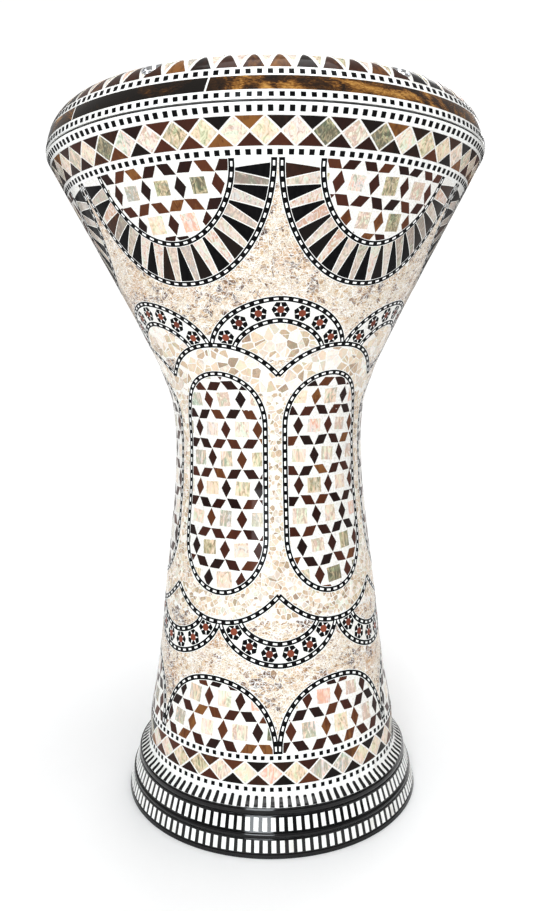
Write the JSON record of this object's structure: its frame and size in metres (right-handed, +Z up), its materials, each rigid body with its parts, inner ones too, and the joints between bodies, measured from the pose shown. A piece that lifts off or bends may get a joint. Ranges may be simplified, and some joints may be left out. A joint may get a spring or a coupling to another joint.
{
  "type": "darbuka",
  "caption": "Goblet hand drum with an inlaid mother-of-pearl and wood covering and a bolted tuning ring that rises and falls.",
  "frame": {"origin": "on the drum's axis, on the surface that the foot stands on", "axes": "+Z up along the drum's axis; a seam between two petals of the inlay faces -Y, and the first bolt is on +X"},
  "size_m": [0.28, 0.28, 0.431],
  "materials": {
    "cast_aluminium": "satin",
    "ring_aluminium": "satin",
    "hoop_aluminium": "satin",
    "bolt_steel": "polished",
    "film": "satin",
    "black_edge": "gloss",
    "bone_and_ebony": "gloss",
    "wood_and_pearl": "gloss",
    "tortoise": "gloss",
    "pearl_mosaic": "gloss"
  },
  "bodies": {
    "drum": {"shell": "cast_aluminium", "drumhead": "film", "flesh_hoop": "hoop_aluminium", "base_ring": "black_edge", "foot_bar_band_3": "bone_and_ebony", "foot_rib_2": "black_edge", "foot_bar_band_2": "bone_and_ebony", "foot_rib_1": "black_edge", "foot_bar_band_1": "bone_and_ebony", "foot_lower_square_strip": "bone_and_ebony", "foot_diamond_band": "wood_and_pearl", "foot_upper_square_strip": "bone_and_ebony", "lower_inlay": "pearl_mosaic", "neck_inlay": "pearl_mosaic", "bowl_inlay": "pearl_mosaic", "rim_lower_square_strip": "bone_and_ebony", "rim_diamond_band": "wood_and_pearl", "rim_upper_square_strip": "bone_and_ebony"},
    "tuning_ring": {"tuning_ring": "ring_aluminium", "ring_lower_square_strip": "bone_and_ebony", "ring_tortoise_band": "tortoise", "ring_upper_square_strip": "bone_and_ebony", "ring_triangle_band": "wood_and_pearl", "washer_1": "bolt_steel", "washer_2": "bolt_steel", "washer_3": "bolt_steel", "washer_4": "bolt_steel", "washer_5": "bolt_steel", "washer_6": "bolt_steel"},
    "tension_bolt_1": {"tension_bolt_1": "bolt_steel"},
    "tension_bolt_2": {"tension_bolt_2": "bolt_steel"},
    "tension_bolt_3": {"tension_bolt_3": "bolt_steel"},
    "tension_bolt_4": {"tension_bolt_4": "bolt_steel"},
    "tension_bolt_5": {"tension_bolt_5": "bolt_steel"},
    "tension_bolt_6": {"tension_bolt_6": "bolt_steel"}
  },
  "joints": [
    {"name": "ring_lift", "type": "slide", "parent": "drum", "child": "tuning_ring", "axis": [0, 0, 1], "range_m": [0, 0.006]},
    {"name": "bolt_1_turn", "type": "hinge", "parent": "tuning_ring", "child": "tension_bolt_1", "pos_m": [0.1284, 0, 0.4216], "axis": [0, 0, 1], "range_deg": [-5, 2170]},
    {"name": "bolt_2_turn", "type": "hinge", "parent": "tuning_ring", "child": "tension_bolt_2", "pos_m": [0.0642, 0.1112, 0.4216], "axis": [0, 0, 1], "range_deg": [-5, 2170]},
    {"name": "bolt_3_turn", "type": "hinge", "parent": "tuning_ring", "child": "tension_bolt_3", "pos_m": [-0.0642, 0.1112, 0.4216], "axis": [0, 0, 1], "range_deg": [-5, 2170]},
    {"name": "bolt_4_turn", "type": "hinge", "parent": "tuning_ring", "child": "tension_bolt_4", "pos_m": [-0.1284, 0, 0.4216], "axis": [0, 0, 1], "range_deg": [-5, 2170]},
    {"name": "bolt_5_turn", "type": "hinge", "parent": "tuning_ring", "child": "tension_bolt_5", "pos_m": [-0.0642, -0.1112, 0.4216], "axis": [0, 0, 1], "range_deg": [-5, 2170]},
    {"name": "bolt_6_turn", "type": "hinge", "parent": "tuning_ring", "child": "tension_bolt_6", "pos_m": [0.0642, -0.1112, 0.4216], "axis": [0, 0, 1], "range_deg": [-5, 2170]}
  ],
  "couplings": [
    {"joint": "bolt_1_turn", "follows": "ring_lift", "rad_per_m": 6283.2},
    {"joint": "bolt_2_turn", "follows": "ring_lift", "rad_per_m": 6283.2},
    {"joint": "bolt_3_turn", "follows": "ring_lift", "rad_per_m": 6283.2},
    {"joint": "bolt_4_turn", "follows": "ring_lift", "rad_per_m": 6283.2},
    {"joint": "bolt_5_turn", "follows": "ring_lift", "rad_per_m": 6283.2},
    {"joint": "bolt_6_turn", "follows": "ring_lift", "rad_per_m": 6283.2}
  ]
}
